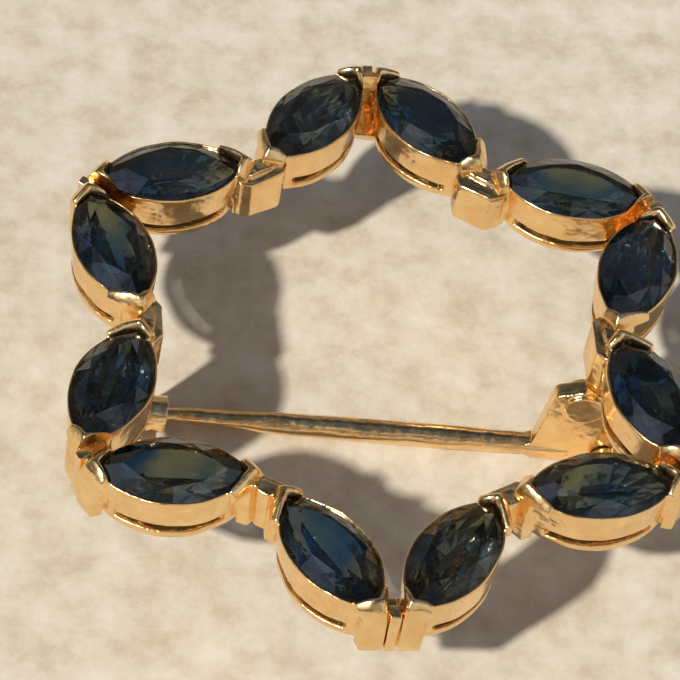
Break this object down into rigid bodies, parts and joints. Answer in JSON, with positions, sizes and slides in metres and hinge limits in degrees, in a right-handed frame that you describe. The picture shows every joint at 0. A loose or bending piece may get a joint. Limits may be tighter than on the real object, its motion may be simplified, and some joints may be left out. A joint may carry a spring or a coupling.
{
  "type": "brooch",
  "caption": "Open wavy wreath brooch of marquise blue stones in boat-shaped gold collets, with a hinged pin and a turning safety catch on the back.",
  "frame": {"origin": "Middle of the brooch's plan box, at the height of the lowest point of the hinge and catch.", "axes": "+Z is the front, the way the stones face. +Y runs from the ring's centre to an outward joint, and is the longest way across. +X completes the frame, and the pin's hinge is on its side."},
  "size_m": [0.025, 0.0274, 0.0078],
  "materials": {
    "gold": "polished, softly worn",
    "sapphire": "polished, faceted"
  },
  "bodies": {
    "wreath": {"collet_01": "gold", "collet_02": "gold", "collet_03": "gold", "collet_04": "gold", "collet_05": "gold", "collet_06": "gold", "collet_07": "gold", "collet_08": "gold", "collet_09": "gold", "collet_10": "gold", "collet_11": "gold", "collet_12": "gold", "sapphire_01": "sapphire", "sapphire_02": "sapphire", "sapphire_03": "sapphire", "sapphire_04": "sapphire", "sapphire_05": "sapphire", "sapphire_06": "sapphire", "sapphire_07": "sapphire", "sapphire_08": "sapphire", "sapphire_09": "sapphire", "sapphire_10": "sapphire", "sapphire_11": "sapphire", "sapphire_12": "sapphire", "joint_01": "gold", "joint_02": "gold", "joint_03": "gold", "joint_04": "gold", "joint_05": "gold", "joint_06": "gold", "joint_07": "gold", "joint_08": "gold", "joint_09": "gold", "joint_10": "gold", "joint_11": "gold", "joint_12": "gold", "hinge_bracket": "gold", "hinge_rivet": "gold", "catch_housing": "gold"},
    "pin": {"pin_stem": "gold"},
    "catch_turn": {"catch_sleeve": "gold"}
  },
  "joints": [
    {"name": "pin_hinge", "type": "hinge", "parent": "wreath", "child": "pin", "pos_m": [0.00995, -0.00093, 0.00075], "axis": [-0.0546, -0.9985, 0], "range_deg": [0, 100]},
    {"name": "catch_lock", "type": "hinge", "parent": "wreath", "child": "catch_turn", "pos_m": [-0.00922, 0.00012, 0.00075], "axis": [0.9985, -0.0546, 0], "range_deg": [0, 90]}
  ]
}
